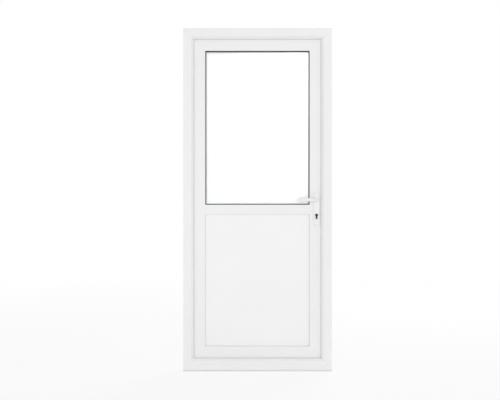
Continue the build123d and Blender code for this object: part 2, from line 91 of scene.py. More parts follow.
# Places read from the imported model. The frame's rectangle is left, right, bottom, top.
FRAME_RECT = (
    low("frame_head")[0],
    high("frame_head")[0],
    low("frame_hinge_jamb")[2],
    high("frame_head")[2],
)
GLASS_RECT = bead_rect("glass")
PANEL_RECT = bead_rect("panel")
FRONT_OF_DOOR = low("frame_head")[1]
LEAF_FRONT = low("leaf_top_rail")[1]
LEAF_BACK = high("leaf_top_rail")[1]
LEAF_MIDDLE = (LEAF_FRONT + LEAF_BACK) / 2
PANE_FRONT = low("glass_outer_pane")[1]
PANE_BACK = high("glass_inner_pane")[1]
BEAD_FRONT = low("glass_bead_left")[1]
LIP_EDGE = high("glass_bead_left")[0] - GLASS_RECT[0]
SPINDLE = middle("spindle")
NECK_RADIUS = high("outside_lever")[0] - SPINDLE[0]
PLATE_LOW = low("outside_backplate")
PLATE_HIGH = high("outside_backplate")
HINGES = ("bottom", "middle", "top")

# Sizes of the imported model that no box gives
LIP_BACK = 3 * MM
STRIP_SLOPE = 4 * MM
PLATE_THICKNESS = 9 * MM
HINGE_PLATE = 4 * MM
KNUCKLE_RADIUS = 8.5 * MM
LEAF_SEAL_WIDTH = 4.5 * MM

# Screws of a hinge's two halves, as millimetres across and up from the middle of its pin
FRAME_HALF_SCREWS = ((-14.5, -38), (-14.5, -14), (-14.5, 14), (-14.5, 38))
LEAF_HALF_SCREWS = ((26, 36), (42, 20), (42, -20), (26, -36))

# Screws of the inside handle plate, from its ends, and heights in millimetres of the lock's screws
PLATE_SCREW_INSET = 13 * MM
FACEPLATE_SCREWS = (315, 390, 520, 700, 844.5, 934.5, 1020, 1160, 1340, 1530, 1670, 1735)
KEEP_SCREWS = (861, 990, 1109, 412.5, 487.5, 1562.5, 1637.5)

# Lever: exponent of a plain oval, and the share of its reach where the grip has its full height
OVAL = 2.0
GRIP_FULL = 0.62

# Collar round the lever's neck. A rounded edge's middle lies in by a share of its radius.
COLLAR_WALL = 4 * MM
COLLAR_GAP = 0.05 * MM
COLLAR_EDGE = 0.9 * MM
ROUND_SHARE = 0.3

# Glazing gasket: each point of its round nose is its distance from the lip's edge and its height, in
# millimetres. The inner gasket shows by a share of what the outer one shows.
GASKET_NOSE = ((0, 1.6), (0.6, 2.0), (1.4, 1.7))
GASKET_FOOT = 8 * MM
GASKET_TIP = 0.8 * MM
INNER_SHARE = 0.3

# Door seals: degrees between which each bulb's arc runs, and the slope of the frame seal's foot
FRAME_BULB_ARC = (-90, 150)
LEAF_BULB_ARC = (150, 390)
SEAL_FOOT_STEP = 1 * MM
SEAL_FOOT_RISE = 1.6 * MM

# How far the rims of plugs and screw heads go down, and how high a hinge cap's dome is
PLUG_RIM = 1.6 * MM
SCREW_RIM = 0.6 * MM
CAP_RISE = 3 * MM

# How finely the key slot, the collar and the rounded edges are drawn, and how near points are merged
PLUG_RINGS = 40
PLUG_SECTORS = 72
COLLAR_SECTORS = 56
EDGE_STEPS = 9
MERGE_DISTANCE = 0.001 * MM

# Places in the studio. The floor starts to whiten at a share of the distance where it is all white.
FLOOR_HALF = 40.0
LAMP_AIM = Vector((0, 0, 1))
KEY_PLACE = (-1.2, -5.5, 0.3)
BACK_PLACE = (1.8, 3.6, 3.3)
FRONT_TOWARD = (0.32, -1.0, 0.25)
FRONT_SOFTNESS = math.radians(25)
WHITE_STARTS = 0.25


def length(name, description, default):
    """Property for a length in metres."""
    return FloatProperty(
        name=name, description=description, default=default, min=0, unit="LENGTH", precision=5
    )


def coordinate(name, description, default):
    """Property for a place along an axis in metres."""
    return FloatProperty(name=name, description=description, default=default, unit="LENGTH")


def share(name, description, default):
    """Property for a number from 0 to 1."""
    return FloatProperty(
        name=name, description=description, default=default, min=0, max=1, subtype="FACTOR"
    )


def watts(name, description, default):
    """Property for the power of a lamp."""
    return FloatProperty(name=name, description=description, default=default, subtype="POWER")


def tint(name, description, default):
    """Property for a colour."""
    return FloatVectorProperty(
        name=name, description=description, default=default, size=3, min=0, max=1, subtype="COLOR"
    )


class DoorSizes(bpy.types.PropertyGroup):
    """Sizes of the fine pieces."""

    lever_bend: length("Lever bend", "Radius of the lever's centre line at its bend", 18 * MM)
    lever_dome: length("Lever dome", "Length of the rounded end of the grip", 4.5 * MM)
    grip_thickness: length("Grip thickness", "Thickness of the grip near its end", 12 * MM)
    grip_root: length("Grip root", "Thickness of the lever where the bend ends", 15 * MM)
    grip_squareness: FloatProperty(
        name="Grip squareness",
        description="Exponent of the grip's section: 2 is an oval, more is squarer",
        default=2.6,
        min=2,
        max=6,
    )
    plate_shoulder: length("Plate shoulder", "Radius of the handle plate's front edge", 3.2 * MM)
    plate_corner: length("Plate corner", "Radius of the handle plate's round ends", 14 * MM)
    plug_radius: length("Plug radius", "Radius of the turning plug of the lock cylinder", 6.6 * MM)
    screw_radius: length("Screw head radius", "Radius of a countersunk screw head", 3.6 * MM)
    seal_bulb: length("Seal bulb", "Radius of the soft bulb of both door seals", 2.2 * MM)
    hinge_bulge: length("Hinge side bulge", "How far the outer seal shows beside the hinge jamb", 0.3 * MM)
    lock_bulge: length("Lock side bulge", "How far the outer seal shows beside the lock jamb", 1.0 * MM)
    glass_gasket: length("Glass gasket", "How far the gasket shows round the glass", 5.5 * MM)
    panel_gasket: length("Panel gasket", "How far the gasket shows round the panel", 2 * MM)
    gasket_lip: length("Gasket lip", "Thickness of a gasket's lip where it meets the pane", 0.8 * MM)


class DoorFinishes(bpy.types.PropertyGroup):
    """Colours and gloss of the finishes."""

    plastic: tint("Plastic", "Frame, leaf and bead colour", (0.865, 0.855, 0.86))
    plastic_roughness: share("Plastic roughness", "Roughness of the plastic", 0.34)
    panel: tint("Panel", "Infill panel colour", (0.905, 0.9, 0.9))
    coating: tint("Coating", "Powder coat on the levers, plates and hinges", (0.87, 0.865, 0.86))
    glass: tint("Glass", "Tint of the panes", (0.985, 0.997, 0.992))
    frost: share("Frost", "Roughness of the frosted pane", 0.5)
    gasket: tint("Gasket", "Glazing gasket colour", (0.012, 0.012, 0.013))
    seal: tint("Seal", "Door seal colour", (0.3, 0.3, 0.3))
    panel_gasket: tint("Panel gasket", "Colour of the gasket round the panel", (0.82, 0.815, 0.81))
    spacer: tint("Spacer", "Colour of the strip between the panes", (0.82, 0.825, 0.83))
    # The base strip's two colours are painted light: the darker front colour is painted shade and the
    # lighter slope colour is a painted highlight.
    strip: tint("Base strip", "Base strip colour below its tread", (0.62, 0.625, 0.63))
    tread_highlight: tint("Tread", "Colour of the base strip's slope, rubbed bright", (0.9, 0.9, 0.9))
    steel: tint("Steel", "Bolt, keep, faceplate and screw colour", (0.56, 0.56, 0.565))
    bronze: tint("Bronze", "Lock cylinder colour", (0.055, 0.032, 0.022))


class DoorStudio(bpy.types.PropertyGroup):
    """Camera and light."""

    distance: length("Camera distance", "From the camera to the outside face of the frame", 4.5)
    view_width: length("View width", "What the picture shows at the outside face of the frame", 2.9955)
    view_x: coordinate("View middle X", "Camera's place across", -0.0449)
    view_z: coordinate("View middle Z", "Camera's height", 1.0251)
    key_power: watts("Key lamp", "Power of the key lamp", 113)
    back_power: watts("Back lamp", "Power of the back lamp", 80)
    front_light: FloatProperty(
        name="Front light", description="Strength of the soft light from in front", default=0.4
    )
    fill: share("Fill", "Brightness of the even light from all round", 0.62)
    floor: tint("Floor", "Floor colour", (0.96, 0.96, 0.96))
    floor_lift: share("Floor lift", "How white the floor is shown under the door, shadow and all", 0.8)
    white_from: length("White from", "Distance from the door where the floor is shown plain white", 6)
    lamp_width: length("Lamp width", "Width of the key and back lamps", 3.0)
    lamp_height: length("Lamp height", "Height of the key and back lamps", 3.0)


# Meshes from arrays

def ring_faces(rows, columns, joined):
    """Faces between neighbouring rings; the last ring meets the first, or both ends are closed."""
    index = np.arange(rows * columns).reshape(rows, columns)
    start = index if joined else index[:-1]
    end = np.roll(index, -1, axis=0) if joined else index[1:]
    quads = np.stack([start, np.roll(start, -1, axis=1), np.roll(end, -1, axis=1), end], axis=-1)
    faces = quads.reshape(-1, 4).tolist()
    if not joined:
        faces += [index[0][::-1].tolist(), index[-1].tolist()]
    return faces


def finish_mesh(name, points, faces, sharp_degrees=32):
    """Object with one mesh: doubles merged, faces turned outwards, smooth between flat parts."""
    mesh = bpy.data.meshes.new(name)
    mesh.from_pydata(np.asarray(points).reshape(-1, 3).tolist(), [], faces)
    work = bmesh.new()
    work.from_mesh(mesh)
    bmesh.ops.remove_doubles(work, verts=work.verts, dist=MERGE_DISTANCE)
    bmesh.ops.recalc_face_normals(work, faces=work.faces)
    work.to_mesh(mesh)
    work.free()
    mesh.shade_smooth()
    mesh.set_sharp_from_angle(angle=math.radians(sharp_degrees))
    made = bpy.data.objects.new(name, mesh)
    bpy.context.scene.collection.objects.link(made)
    return made


def joined_mesh(name, grids, joined=False):
    """One object from many grids of rings that have the same size."""
    rows, columns = grids[0].shape[:2]
    one = ring_faces(rows, columns, joined)
    step = rows * columns
    faces = [[corner + number * step for corner in face] for number in range(len(grids)) for face in one]
    return finish_mesh(name, np.concatenate([grid.reshape(-1, 3) for grid in grids]), faces)


def add_piece(piece, body, slot, material, *nodes):
    """Gives a piece its body and its material, and hides the nodes that it stands for. The slot is not
    used.
    """
    piece.data.materials.append(material)
    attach(piece, body)
    if nodes:
        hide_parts(*nodes)


def superellipse(angles, exponent):
    """Unit oval: cosine and sine, each raised to 2 over the exponent with its sign kept."""
    power = 2 / exponent
    cosine, sine = np.cos(angles), np.sin(angles)
    return np.sign(cosine) * np.abs(cosine) ** power, np.sign(sine) * np.abs(sine) ** power


def smooth_step(values, start, end):
    """0 before start, 1 after end, and 3t^2 - 2t^3 between."""
    t = np.clip((values - start) / (end - start), 0, 1)
    return t * t * (3 - 2 * t)


def mitred_ring(section, rect):
    """Ring round a rectangle: the section's point (u, y) runs u inside every edge and meets at mitres."""
    left, right, bottom, top = rect
    u, y = np.asarray(section).T
    x = np.stack([left + u, right - u, right - u, left + u])
    z = np.stack([bottom + u, bottom + u, top - u, top - u])
    return np.stack([x, np.broadcast_to(y, x.shape), z], axis=-1)


def disc_grid(centre, out, radius, rim, height, rings=14, sectors=40):
    """Disc that faces out along X or Y: a height over a polar grid, height(a, b), and a rim that goes down.

    a runs along up times out, the disc's right, and b runs up.
    """
    up = np.array([0.0, 0.0, 1.0])
    right = np.cross(up, out)
    radii = radius * np.linspace(0, 1, rings)[:, None]
    angles = np.linspace(0, 2 * np.pi, sectors, endpoint=False)[None, :]
    a, b = radii * np.cos(angles), radii * np.sin(angles)
    h = height(a, b)
    a, b = np.vstack([a, a[-1:]]), np.vstack([b, b[-1:]])
    h = np.vstack([h, np.full((1, sectors), -rim)])
    return np.asarray(centre, float) + a[..., None] * right + b[..., None] * up + h[..., None] * out


def turned_grid(axis_point, radii, heights, sectors=48):
    """Surface of revolution about an upright axis through the given radii and heights."""
    angles = np.linspace(0, 2 * np.pi, sectors, endpoint=False)
    x = axis_point[0] + np.asarray(radii)[:, None] * np.cos(angles)
    y = axis_point[1] + np.asarray(radii)[:, None] * np.sin(angles)
    z = axis_point[2] + np.broadcast_to(np.asarray(heights)[:, None], x.shape)
    return np.stack([x, y, z], axis=-1)


def to_inside(points):
    """Mirror image of points on the other face of the leaf."""
    mirrored = np.array(points)
    mirrored[..., 1] = 2 * LEAF_MIDDLE - mirrored[..., 1]
    return mirrored


# Materials. A noise is multiplied by its share of the height or the tone.

# Places of a Mix node's colour sockets, which share their names with its other sockets
MIX_FACTOR, MIX_FIRST, MIX_SECOND, MIX_RESULT = 0, 6, 7, 2

# Middle roughness of each finish, about which its noises vary it
ROUGHNESS = {
    "panel": 0.43,
    "gasket": 0.8,
    "panel_gasket": 0.56,
    "seal": 0.68,
    "coating": 0.305,
    "spacer": 0.53,
    "strip": 0.445,
    "steel": 0.39,
    "bronze": 0.405,
}

# Lines along a bar are a noise whose coordinate along it is multiplied by one of these
EXTRUDED = 0.01
BRUSHED = 0.02

# Dressed joint at a mitre: its half width, where it has faded out, and its depth, added roughness
# and darkness beside those of the noises
JOINT_HALF = 0.2 * MM
JOINT_FADED = 1.1 * MM
JOINT_DEPTH = 3
JOINT_ROUGH = 0.2
JOINT_DARK = 4

# Base strip: how far the edge of the painted highlight on its slope wanders, and how soft it is below and
# above that edge
HIGHLIGHT_WANDERS = 1.5 * MM
HIGHLIGHT_BELOW = 1 * MM
HIGHLIGHT_ABOVE = 0.5 * MM


class Wire:
    """An output in a node tree. Python's operators on it add Math nodes."""

    def __init__(self, graph, socket):
        self.graph = graph
        self.socket = socket

    def math(self, operation, *values):
        """Math node with this value first."""
        inputs = dict(enumerate([self, *values]))
        return self.graph.node("ShaderNodeMath", {"operation": operation}, inputs)

    def __add__(self, other):
        return self.math("ADD", other)

    __radd__ = __add__

    def __mul__(self, other):
        return self.math("MULTIPLY", other)

    __rmul__ = __mul__

    def __sub__(self, other):
        return self.math("SUBTRACT", other)

    def __rsub__(self, other):
        return self * -1 + other

    def __abs__(self):
        return self.math("ABSOLUTE")

    def least(self, other):
        """The smaller of two values."""
        return self.math("MINIMUM", other)

    def most(self, other):
        """The larger of two values."""
        return self.math("MAXIMUM", other)

    def step(self, start, end):
        """0 before start, 1 after end and smooth between."""
        settings = {"interpolation_type": "SMOOTHSTEP"}
        inputs = {"Value": self, "From Min": start, "From Max": end}
        return self.graph.node("ShaderNodeMapRange", settings, inputs)


class Graph:
    """Node tree of one material, filled by expressions."""

    output_kind = "ShaderNodeOutputMaterial"

    def __init__(self, name):
        self.material = bpy.data.materials.new(name)
        self.start(self.material)

    def start(self, owner):
        """Takes the node tree of a material or world, and empties it."""
        owner.use_nodes = True
        self.tree = owner.node_tree
        self.tree.nodes.clear()

    def node(self, kind, settings=None, inputs=None, output=0):
        """Node of one type: its settings come first, then the values or links of its sockets."""
        made = self.tree.nodes.new(kind)
        for key, value in (settings or {}).items():
            setattr(made, key, value)
        for key, value in (inputs or {}).items():
            if isinstance(value, Wire):
                self.tree.links.new(value.socket, made.inputs[key])
            else:
                made.inputs[key].default_value = value
        return Wire(self, made.outputs[output]) if made.outputs else None

    def point(self, stretch=(1, 1, 1)):
        """Object coordinates, multiplied along each axis."""
        place = self.node("ShaderNodeTexCoord", output="Object")
        return self.node("ShaderNodeVectorMath", {"operation": "MULTIPLY"}, {0: place, 1: stretch})

    def parts(self, vector):
        """The three values of a vector."""
        return [
            self.node("ShaderNodeSeparateXYZ", None, {"Vector": vector}, axis)
            for axis in ("X", "Y", "Z")
        ]

    def noise(self, per_metre, detail=3, stretch=(1, 1, 1)):
        """Soft noise from 0 to 1 with so many bumps a metre."""
        inputs = {"Vector": self.point(stretch), "Scale": per_metre, "Detail": detail}
        return self.node("ShaderNodeTexNoise", None, inputs)

    def blend(self, amount, first, second):
        """Colour that goes from the first to the second."""
        inputs = {MIX_FACTOR: amount, MIX_FIRST: (*first, 1), MIX_SECOND: (*second, 1)}
        return self.node("ShaderNodeMix", {"data_type": "RGBA"}, inputs, MIX_RESULT)

    def bump(self, height, distance):
        """Normal from a height of 0 to 1 that stands for a depth in metres."""
        inputs = {"Height": height, "Distance": distance, "Strength": 1.0}
        return self.node("ShaderNodeBump", None, inputs, "Normal")

    def finish(self, **inputs):
        """Material with a Principled surface that has these sockets."""
        named = {key.replace("_", " "): value for key, value in inputs.items()}
        self.show(self.node("ShaderNodeBsdfPrincipled", None, named))
        return self.material

    def show(self, shader):
        """Sends a shader to the tree's output."""
        self.node(self.output_kind, None, {"Surface": shader})


class WorldGraph(Graph):
    """Node tree of the world."""

    output_kind = "ShaderNodeOutputWorld"

    def __init__(self, name):
        self.world = bpy.data.worlds.new(name)
        self.start(self.world)


def times(colour, factor):
    """Colour times a factor."""
    return tuple(value * factor for value in colour)


def varied(middle, *noises):
    """Value about a middle: it less half of all shares, plus each noise from 0 to 1 times its share."""
    value = middle - sum(amount for _, amount in noises) / 2
    for noise, amount in noises:
        value = noise * amount + value
    return value


def mitre_distance(graph, rect):
    """Distance from the nearest 45 degree joint at the corners of a rectangle."""
    left, right, bottom, top = rect
    x, _, z = graph.parts(graph.point())
    across = (right - left) / 2 - abs(x - (left + right) / 2)
    along = (z - bottom).least(top - z)
    return abs(across - along) * math.sqrt(0.5)


def plastic(name, colour, roughness, upright, rect=None):
    """Extruded plastic: fine lines along the bar, faint clouds, and a dressed joint at each mitre."""
    graph = Graph(name)
    lines = graph.noise(420, detail=2, stretch=(1, 1, EXTRUDED) if upright else (EXTRUDED, 1, 1))
    clouds = graph.noise(5)
    ripple = graph.noise(70, detail=2)
    height = lines * 0.35 + ripple * 0.4
    tone = clouds.step(0.3, 0.7)
    rough = varied(roughness, (clouds, 0.08), (lines, 0.05))
    if rect:
        joint = 1 - mitre_distance(graph, rect).step(JOINT_HALF, JOINT_FADED)
        height = height - joint * JOINT_DEPTH
        rough = rough + joint * JOINT_ROUGH
        tone = tone - joint * JOINT_DARK
    base = graph.blend(tone.step(-JOINT_DARK, 1), times(colour, 0.9), colour)
    return graph.finish(
        Base_Color=base, Roughness=rough, IOR=1.5, Normal=graph.bump(height, 0.03 * MM)
    )


def panel_plastic(colour, roughness):
    """Smooth satin skin on the foam panel, with the slight waves of a glued sheet."""
    graph = Graph("satin panel")
    waves = graph.noise(3.5, detail=2)
    grain = graph.noise(900, detail=2)
    rough = varied(roughness, (waves, 0.08), (grain, 0.06))
    base = graph.blend(waves.step(0.25, 0.75), times(colour, 0.985), colour)
    return graph.finish(
        Base_Color=base, Roughness=rough, IOR=1.48, Normal=graph.bump(waves * 8 + grain * 0.3, 0.05 * MM)
    )


def frosted_glass(colour, roughness):
    """Etched pane: a fine, slightly uneven grain that blurs what is behind."""
    graph = Graph("frosted glass")
    grain = graph.noise(1400)
    patches = graph.noise(16)
    rough = varied(roughness, (patches, 0.1), (grain, 0.1))
    base = graph.blend(patches.step(0.3, 0.7), times(colour, 0.995), colour)
    return graph.finish(
        Base_Color=base, Roughness=rough, IOR=1.52, Transmission_Weight=1.0,
        Normal=graph.bump(grain, 0.06 * MM),
    )


def clear_glass(colour):
    """Float glass with the faintest film on it."""
    graph = Graph("clear glass")
    film = graph.noise(9, detail=4)
    rough = film.step(0.45, 0.75) * 0.05 + 0.005
    base = graph.blend(film, times(colour, 0.998), colour)
    return graph.finish(Base_Color=base, Roughness=rough, IOR=1.52, Transmission_Weight=1.0)


def rubber(name, colour, roughness):
    """Moulded rubber: matt, finely pitted, with a greyer bloom in patches."""
    graph = Graph(name)
    pits = graph.noise(1600, detail=2)
    bloom = graph.noise(30, detail=4).step(0.45, 0.8)
    bloomed = tuple(value * 1.15 + 0.012 for value in colour)
    rough = varied(roughness, (bloom, 0.12), (pits, 0.1))
    base = graph.blend(bloom * 0.6, colour, bloomed)
    return graph.finish(Base_Color=base, Roughness=rough, IOR=1.43, Normal=graph.bump(pits, 0.05 * MM))


def powder_coat(colour, roughness):
    """Thick paint baked on metal, with the small hills of orange peel."""
    graph = Graph("white powder coat")
    peel = graph.noise(620, detail=2)
    clouds = graph.noise(25)
    rough = varied(roughness, (clouds, 0.08), (peel, 0.05))
    base = graph.blend(clouds, times(colour, 0.97), colour)
    return graph.finish(
        Base_Color=base, Roughness=rough, IOR=1.5, Coat_Weight=0.25, Coat_Roughness=0.15,
        Normal=graph.bump(peel, 0.05 * MM),
    )


def metal(name, colour, roughness, stretch):
    """Metal with fine brush lines along one direction and darker handling marks."""
    graph = Graph(name)
    lines = graph.noise(900, stretch=stretch)
    marks = graph.noise(45, detail=4).step(0.35, 0.8)
    rough = varied(roughness, (lines, 0.18), (marks, 0.12))
    base = graph.blend(marks * 0.3 + lines * 0.3, colour, times(colour, 0.8))
    return graph.finish(
        Base_Color=base, Metallic=1.0, Roughness=rough, Normal=graph.bump(lines, 0.03 * MM)
    )


def strip_metal(colour, painted_highlight, roughness, edge):
    """Aluminium strip, smoother above the edge of its sloping top. Its colour is painted light: lighter
    above as a painted highlight, darker below as painted shade.
    """
    graph = Graph("base strip aluminium")
    lines = graph.noise(900, stretch=(BRUSHED, 1, 1))
    patches = graph.noise(30, stretch=(0.3, 1, 1))
    _, _, z = graph.parts(graph.point())
    # Mask of the painted highlight on the slope; below its edge the strip's colour is painted shade.
    tread_highlight = (z + patches * HIGHLIGHT_WANDERS).step(edge - HIGHLIGHT_BELOW, edge + HIGHLIGHT_ABOVE)
    rough = varied(roughness, (lines, 0.15), (tread_highlight, -0.1))
    return graph.finish(
        Base_Color=graph.blend(tread_highlight, colour, painted_highlight), Metallic=1.0, Roughness=rough,
        Normal=graph.bump(lines, 0.03 * MM),
    )


def bronze(colour, roughness):
    """Dark oxidised brass, turned to a fine grain, rubbed lighter in places."""
    graph = Graph("dark bronze")
    grain = graph.noise(1500)
    rubbed = graph.noise(160, detail=4).step(0.5, 0.85)
    rough = varied(roughness, (grain, 0.15), (rubbed, -0.1))
    base = graph.blend(rubbed * 0.7, colour, times(colour, 3.2))
    return graph.finish(
        Base_Color=base, Metallic=0.85, Roughness=rough, Normal=graph.bump(grain, 0.03 * MM)
    )


MATERIALS = {}


def paint(node, material):
    """Puts a material in the slots of a node's object."""
    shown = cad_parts[node]
    if not shown.material_slots:
        shown.data.materials.append(material)
    for slot in shown.material_slots:
        slot.link = "OBJECT"
        slot.material = material


def finish_of(node):
    """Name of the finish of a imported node, from the node's name."""
    if "bead" in node:
        run = "upright" if node.endswith(("left", "right")) else "level"
        return f"{node.split('_')[0]}_bead_{run}"
    exact = {
        "infill_panel": "panel",
        "glass_outer_pane": "frosted",
        "glass_inner_pane": "clear",
        "glass_gaskets": "gasket",
        "panel_gaskets": "panel_gasket",
        "frame_seal": "seal",
        "leaf_seal": "seal",
        "glass_spacer": "spacer",
        "base_strip": "strip",
        "lock_cylinder": "bronze",
        "mid_rail": "rail",
        "spindle": "steel",
    }
    if node in exact:
        return exact[node]
    if "lever" in node or "backplate" in node or node.endswith("half"):
        return "coating"
    if "pin" in node or node.startswith(("lock", "hook")):
        return "steel"
    return "upright" if node.endswith(("jamb", "stile")) else "level"


class DOOR_OT_finishes(bpy.types.Operator):
    """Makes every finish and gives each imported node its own"""

    bl_idname = "door.finishes"
    bl_label = "Finishes"

    def execute(self, context):
        look = context.scene.door_finishes
        tone, gloss, rough = look.plastic, look.plastic_roughness, ROUGHNESS
        strip_edge = high("base_strip")[2] - STRIP_SLOPE
        MATERIALS.update({
            "upright": plastic("white plastic upright", tone, gloss, True, FRAME_RECT),
            "level": plastic("white plastic level", tone, gloss, False, FRAME_RECT),
            "rail": plastic("white plastic mid rail", tone, gloss, False),
            "glass_bead_upright": plastic("glass bead upright", tone, gloss, True, GLASS_RECT),
            "glass_bead_level": plastic("glass bead level", tone, gloss, False, GLASS_RECT),
            "panel_bead_upright": plastic("panel bead upright", tone, gloss, True, PANEL_RECT),
            "panel_bead_level": plastic("panel bead level", tone, gloss, False, PANEL_RECT),
            "panel": panel_plastic(look.panel, rough["panel"]),
            "frosted": frosted_glass(look.glass, look.frost),
            "clear": clear_glass(look.glass),
            "gasket": rubber("black glazing rubber", look.gasket, rough["gasket"]),
            "panel_gasket": rubber("pale panel rubber", look.panel_gasket, rough["panel_gasket"]),
            "seal": rubber("grey seal rubber", look.seal, rough["seal"]),
            "coating": powder_coat(look.coating, rough["coating"]),
            "spacer": metal("mill aluminium", look.spacer, rough["spacer"], (BRUSHED, 1, 1)),
            "strip": strip_metal(look.strip, look.tread_highlight, rough["strip"], strip_edge),
            "steel": metal("brushed steel", look.steel, rough["steel"], (1, 1, BRUSHED)),
            "bronze": bronze(look.bronze, rough["bronze"]),
        })
        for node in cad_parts:
            paint(node, MATERIALS[finish_of(node)])
        return {"FINISHED"}


def lever_grid(sizes):
    """Outside lever: an oval carried along a straight neck, a quarter circle, a straight grip and a dome.

    Across the grip the half height grows by a smooth step and the half thickness falls by a square.
    Over the dome both shrink by the cosine of an angle while the centre moves on by its sine.
    """
    neck_rings, bend_rings, grip_rings, dome_rings, corners = 8, 22, 30, 14, 48
    lowest, highest = low("outside_lever"), high("outside_lever")
    half_height = (highest[2] - lowest[2]) / 2
    root, tip = sizes.grip_root / 2, sizes.grip_thickness / 2
    bend, dome = sizes.lever_bend, sizes.lever_dome
    grip_y = lowest[1] + root
    reach = SPINDLE[0] - lowest[0]

    arc = np.linspace(0, np.pi / 2, bend_rings)
    cap = np.linspace(0, np.pi / 2, dome_rings + 1)[1:]
    run = np.linspace(bend, reach - dome, grip_rings + 1)[1:]
    along = (run - bend) / (reach - dome - bend)
    neck_y = np.linspace(highest[1], grip_y + bend, neck_rings + 1)[:-1]
    straight = grip_rings + dome_rings

    turn = np.concatenate([np.zeros(neck_rings), arc, np.full(straight, np.pi / 2)])
    x = np.concatenate([
        np.zeros(neck_rings),
        bend * (1 - np.cos(arc)),
        run,
        reach - dome + dome * np.sin(cap),
    ])
    y = np.concatenate([neck_y, grip_y + bend * (1 - np.sin(arc)), np.full(straight, grip_y)])
    tall = np.concatenate([
        np.full(neck_rings + bend_rings, NECK_RADIUS),
        NECK_RADIUS + (half_height - NECK_RADIUS) * smooth_step(run, bend, reach * GRIP_FULL),
        half_height * np.cos(cap),
    ])
    thick = np.concatenate([
        np.full(neck_rings, NECK_RADIUS),
        NECK_RADIUS + (root - NECK_RADIUS) * arc / (np.pi / 2),
        tip + (root - tip) * (1 - along) ** 2,
        tip * np.cos(cap),
    ])
    square = np.concatenate([
        np.full(neck_rings + bend_rings, OVAL),
        OVAL + (sizes.grip_squareness - OVAL) * smooth_step(run, bend, 2 * bend),
        np.full(dome_rings, sizes.grip_squareness),
    ])
    angles = np.linspace(0, 2 * np.pi, corners, endpoint=False)
    up, side = superellipse(angles[None, :], square[:, None])
    centre = np.stack([SPINDLE[0] - x, y, np.full_like(x, SPINDLE[2])], axis=-1)
    across = np.stack([-np.cos(turn), np.sin(turn), np.zeros_like(turn)], axis=-1)
    points = centre[:, None, :] + (thick[:, None] * side)[..., None] * across[:, None, :]
    points[..., 2] += tall[:, None] * up
    return points


class DOOR_OT_levers(bpy.types.Operator):
    """Makes the two cast levers with a smooth bend and a domed grip"""

    bl_idname = "door.levers"
    bl_label = "Levers"

    def execute(self, context):
        grid = lever_grid(context.scene.door_sizes)
        for side, points in (("outside", grid), ("inside", to_inside(grid))):
            piece = joined_mesh(f"{side}_lever_casting", [points])
            add_piece(piece, "levers", "coated_metal", MATERIALS["coating"], f"{side}_lever")
        return {"FINISHED"}


def rounded_outline(half_width, half_height, corner, steps=10):
    """Rectangle with round corners as a ring of points: four quarter circles joined by straight sides."""
    angles = np.linspace(0, np.pi / 2, steps)
    quarters = []
    for turn, (sx, sz) in enumerate(((1, 1), (-1, 1), (-1, -1), (1, -1))):
        around = angles + turn * np.pi / 2
        x = sx * (half_width - corner) + corner * np.cos(around)
        z = sz * (half_height - corner) + corner * np.sin(around)
        quarters.append(np.stack([x, z], axis=-1))
    return np.concatenate(quarters)


def plate_grid(sizes):
    """Outside handle plate: its outline drawn in and forwards round a quarter circle, then a flat face."""
    half_width = (PLATE_HIGH[0] - PLATE_LOW[0]) / 2
    half_height = (PLATE_HIGH[2] - PLATE_LOW[2]) / 2
    centre = (PLATE_LOW + PLATE_HIGH) / 2
    shoulder = sizes.plate_shoulder
    arc = np.linspace(0, np.pi / 2, EDGE_STEPS)
    inset = np.concatenate([[0], shoulder * (1 - np.cos(arc))])
    rise = np.concatenate([[0], PLATE_THICKNESS - shoulder + shoulder * np.sin(arc)])
    outline = rounded_outline(half_width, half_height, sizes.plate_corner)
    shrink_x = (half_width - inset) / half_width
    shrink_z = (half_height - inset) / half_height
    x = centre[0] + outline[None, :, 0] * shrink_x[:, None]
    z = centre[2] + outline[None, :, 1] * shrink_z[:, None]
    y = np.broadcast_to((PLATE_HIGH[1] - rise)[:, None], x.shape)
    return np.stack([x, y, z], axis=-1)


def collar_grid():
    """Guide ring of the outside lever: a bored barrel with rounded edges, turned on the neck's axis."""
    outer, inner = NECK_RADIUS + COLLAR_WALL, NECK_RADIUS + COLLAR_GAP
    front, back = PLATE_LOW[1], PLATE_HIGH[1]
    edge, chamfer = COLLAR_EDGE, COLLAR_EDGE / 2
    cut = edge * ROUND_SHARE
    radii, depths = np.array([
        (inner, back),
        (outer, back),
        (outer, front + edge),
        (outer - cut, front + cut),
        (outer - edge, front),
        (inner + chamfer, front),
        (inner, front + chamfer),
    ]).T
    angles = np.linspace(0, 2 * np.pi, COLLAR_SECTORS, endpoint=False)[:, None]
    x = SPINDLE[0] + radii * np.cos(angles)
    z = SPINDLE[2] + radii * np.sin(angles)
    return np.stack([x, np.broadcast_to(depths, x.shape), z], axis=-1)


class DOOR_OT_handle_plates(bpy.types.Operator):
    """Makes the two handle plates with soft edges and the collar round each neck"""

    bl_idname = "door.handle_plates"
    bl_label = "Handle plates"

    def execute(self, context):
        plate, collar = plate_grid(context.scene.door_sizes), collar_grid()
        sides = {"outside": (plate, collar), "inside": (to_inside(plate), to_inside(collar))}
        for side, (flat, round_part) in sides.items():
            body = joined_mesh(f"{side}_handle_plate", [flat])
            add_piece(body, "leaf", "coated_metal", MATERIALS["coating"], f"{side}_backplate")
            ring = joined_mesh(f"{side}_neck_collar", [round_part], joined=True)
            add_piece(ring, "leaf", "coated_metal", MATERIALS["coating"])
        return {"FINISHED"}


def glazing_section(rest, shows, face, lip):
    """Gasket section between a lip and a pane: a flat foot, a round nose and a thin lip on the pane."""
    away = np.sign(rest - face)
    nose = [(LIP_EDGE + across * MM, rest + away * rise * MM) for across, rise in GASKET_NOSE]
    return [
        (LIP_EDGE - GASKET_FOOT, rest),
        (LIP_EDGE, rest),
        *nose,
        (LIP_EDGE + shows - GASKET_TIP, face + away * lip * 2),
        (LIP_EDGE + shows, face + away * lip),
        (LIP_EDGE + shows, face),
        (LIP_EDGE - GASKET_FOOT, face),
    ]


